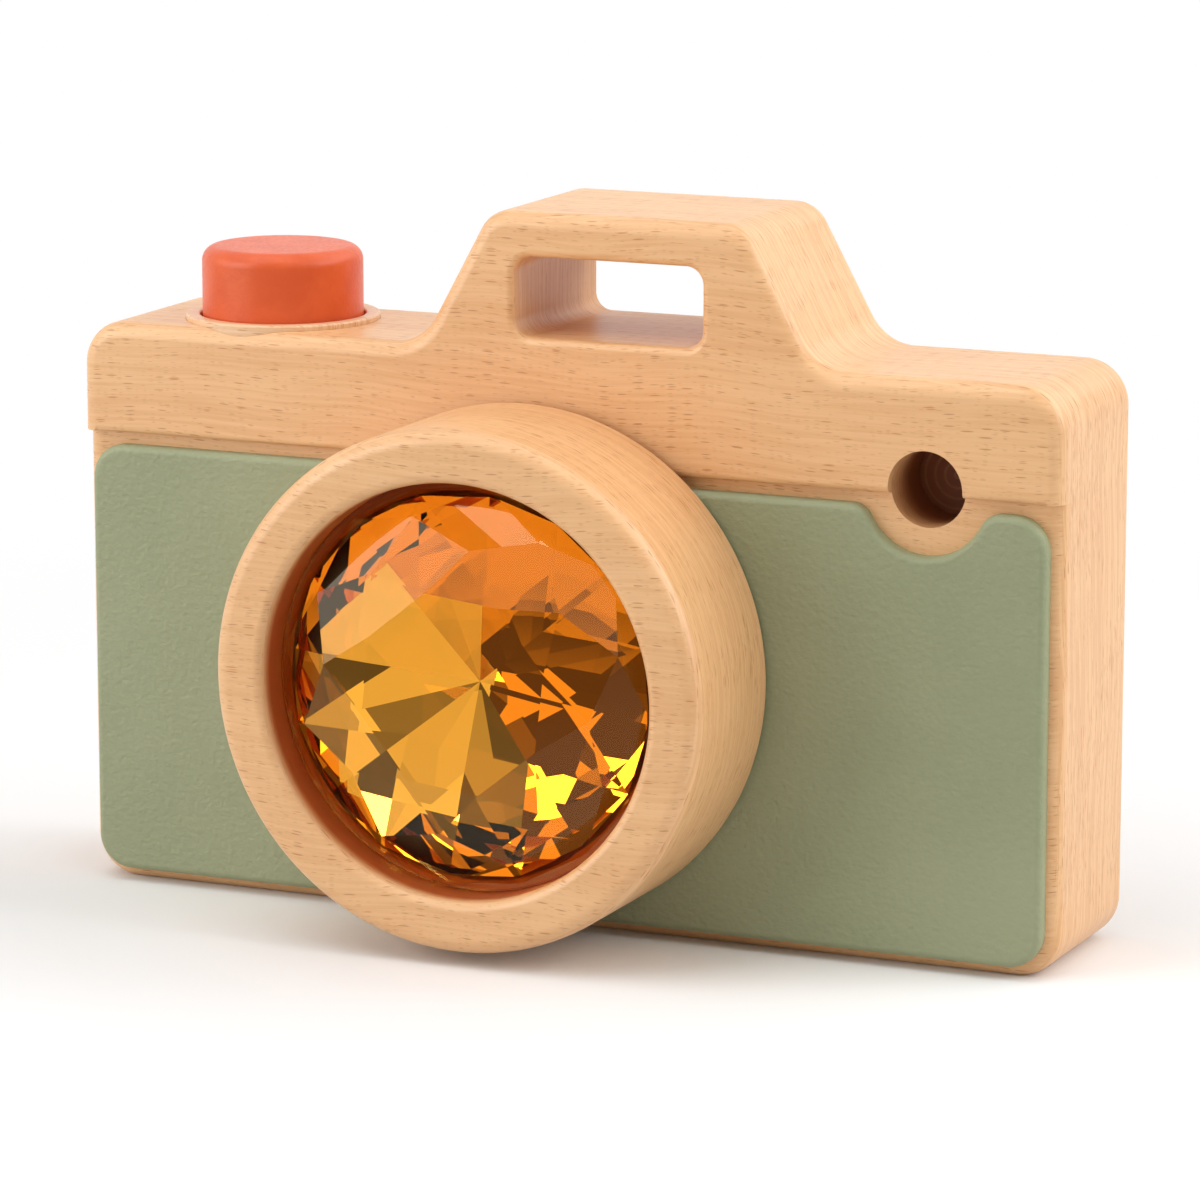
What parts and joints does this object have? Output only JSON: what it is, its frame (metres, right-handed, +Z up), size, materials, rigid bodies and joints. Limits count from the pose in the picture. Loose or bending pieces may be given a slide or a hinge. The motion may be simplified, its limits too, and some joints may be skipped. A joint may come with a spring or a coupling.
{
  "type": "toy camera",
  "caption": "Wooden toy camera with a carrying window in its hump, a painted front panel, a turning barrel that holds a faceted amber lens, and a sprung shutter button.",
  "frame": {"origin": "middle of the body's base, half-way through its thickness", "axes": "+X to the right seen from the front, +Y to the back, +Z up; the lens looks along -Y"},
  "size_m": [0.13, 0.0476, 0.0885],
  "materials": {
    "beech": "oiled beech, satin, edges rounded and sanded",
    "turned_beech": "turned beech, satin",
    "pale_beech": "pale beech, satin",
    "sage_paint": "sage-green satin paint with a fine leathery texture",
    "coral_paint": "coral satin paint on turned beech",
    "amber_acrylic": "clear amber acrylic, polished facets, rear facets with a thin mirror coating",
    "clear_acrylic": "clear acrylic, polished",
    "nylon": "natural nylon",
    "steel": "bright zinc-plated steel"
  },
  "bodies": {
    "camera_body": {"body_block": "beech", "front_panel": "sage_paint", "bearing_washer": "nylon", "button_collar": "pale_beech", "button_spring": "steel", "button_pins": "pale_beech"},
    "lens": {"lens_barrel": "turned_beech", "faceted_lens": "amber_acrylic", "eyepiece_ring": "pale_beech", "eyepiece_pane": "clear_acrylic", "eyepiece_screws": "steel"},
    "button": {"shutter_button": "coral_paint"}
  },
  "joints": [
    {"name": "button_press", "type": "slide", "parent": "camera_body", "child": "button", "axis": [0, 0, -1], "range_m": [0, 0.0035], "stiffness_N_per_m": 300, "springref_m": -0.002, "deforming": ["button_spring"]},
    {"name": "lens_turn", "type": "hinge", "parent": "camera_body", "child": "lens", "pos_m": [-0.0034, 0, 0.0336], "axis": [0, -1, 0], "continuous": true}
  ]
}
